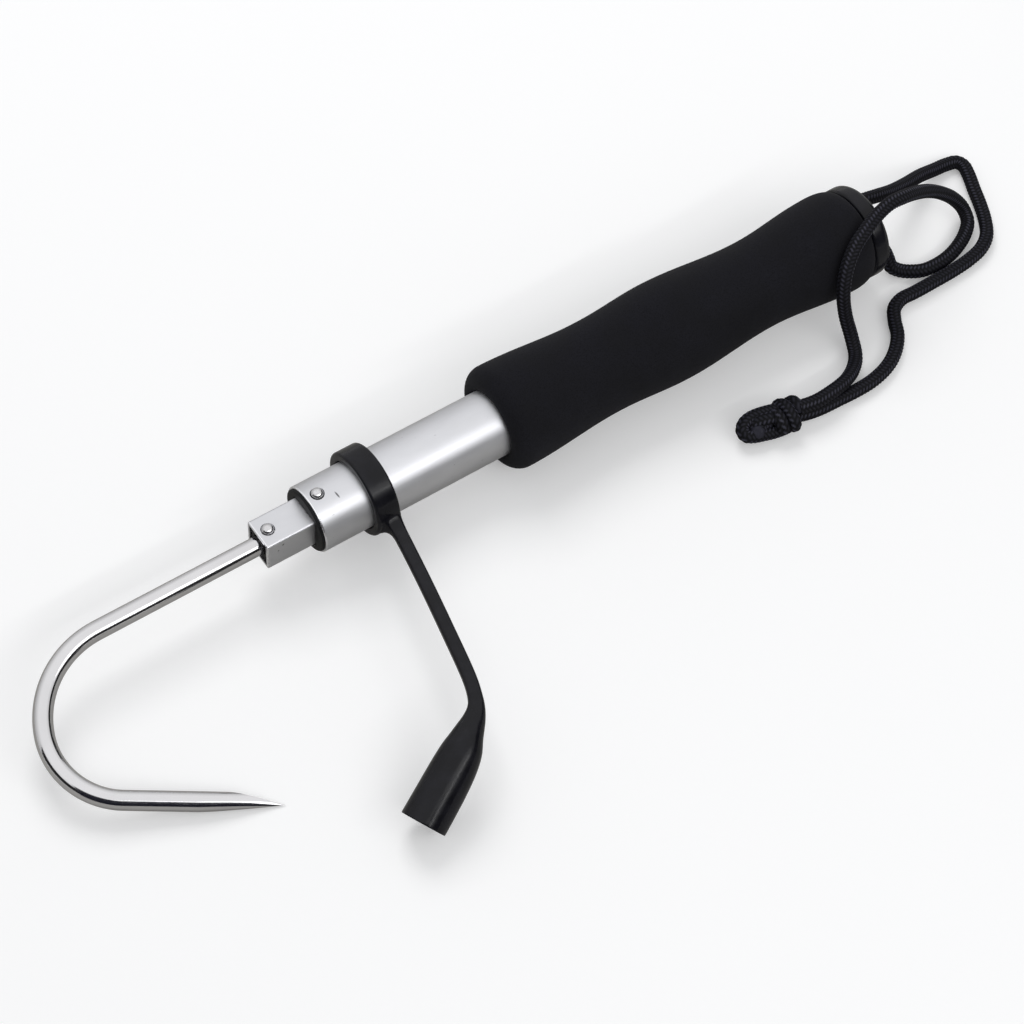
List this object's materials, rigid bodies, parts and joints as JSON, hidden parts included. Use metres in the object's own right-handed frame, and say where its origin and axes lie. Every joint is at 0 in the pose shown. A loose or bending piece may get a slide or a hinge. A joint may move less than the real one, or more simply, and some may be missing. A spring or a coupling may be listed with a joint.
{
  "type": "telescopic fishing gaff",
  "caption": "Collapsible hand gaff: curved pointed hook on a square pole that slides out of a round pole with foam grip, snap buttons, rubber tip guard and wrist lanyard.",
  "frame": {"origin": "centre of the end cap's flat rear face, on the pole's axis", "axes": "+X along the pole towards the hook, +Y towards the side on which the hook and the tip guard lie, +Z the side that the snap buttons face, up as it lies on a table"},
  "size_m": [0.3788, 0.1242, 0.0379],
  "materials": {
    "aluminium_tube": "satin anodised",
    "stainless": "polished stainless steel",
    "spring_steel": "plain spring steel",
    "black_plastic": "moulded, slightly glossy",
    "black_rubber": "smooth moulded rubber",
    "black_foam": "matt closed-cell foam",
    "black_cord": "braided cord"
  },
  "bodies": {
    "outer_pole": {"outer_tube": "aluminium_tube", "front_bushing": "black_plastic", "foam_grip": "black_foam", "end_cap": "black_rubber", "lanyard_strand_a": "black_cord", "lanyard_strand_b": "black_cord", "lanyard_bridge": "black_cord", "lanyard_knot": "black_cord"},
    "inner_pole": {"square_tube": "aluminium_tube", "rear_guide": "black_plastic", "rear_guide_pin": "stainless", "pole_button_spring": "spring_steel", "extended_button": "stainless", "extended_button_spring": "spring_steel"},
    "pole_button": {"pole_button": "stainless"},
    "hook": {"hook": "stainless", "hook_plug": "black_plastic", "hook_cross_pin": "stainless", "hook_button_spring": "spring_steel"},
    "hook_button": {"hook_button": "stainless"},
    "tip_guard": {"tip_guard": "black_rubber"}
  },
  "joints": [
    {"name": "pole_slide", "type": "slide", "parent": "outer_pole", "child": "inner_pole", "axis": [1, 0, 0], "range_m": [0, 0.1734]},
    {"name": "pole_button_press", "type": "slide", "parent": "inner_pole", "child": "pole_button", "axis": [0, 0, -1], "range_m": [0, 0.0066], "stiffness_N_per_m": 600, "springref_m": -0.002, "deforming": ["pole_button_spring"]},
    {"name": "hook_release", "type": "slide", "parent": "inner_pole", "child": "hook", "axis": [1, 0, 0], "range_m": [0, 0.04]},
    {"name": "hook_button_press", "type": "slide", "parent": "hook", "child": "hook_button", "axis": [0, 0, -1], "range_m": [0, 0.0026], "stiffness_N_per_m": 1200, "springref_m": -0.001, "deforming": ["hook_button_spring"]},
    {"name": "tip_guard_turn", "type": "hinge", "parent": "outer_pole", "child": "tip_guard", "pos_m": [0.1933, 0, 0], "axis": [1, 0, 0], "continuous": true}
  ]
}
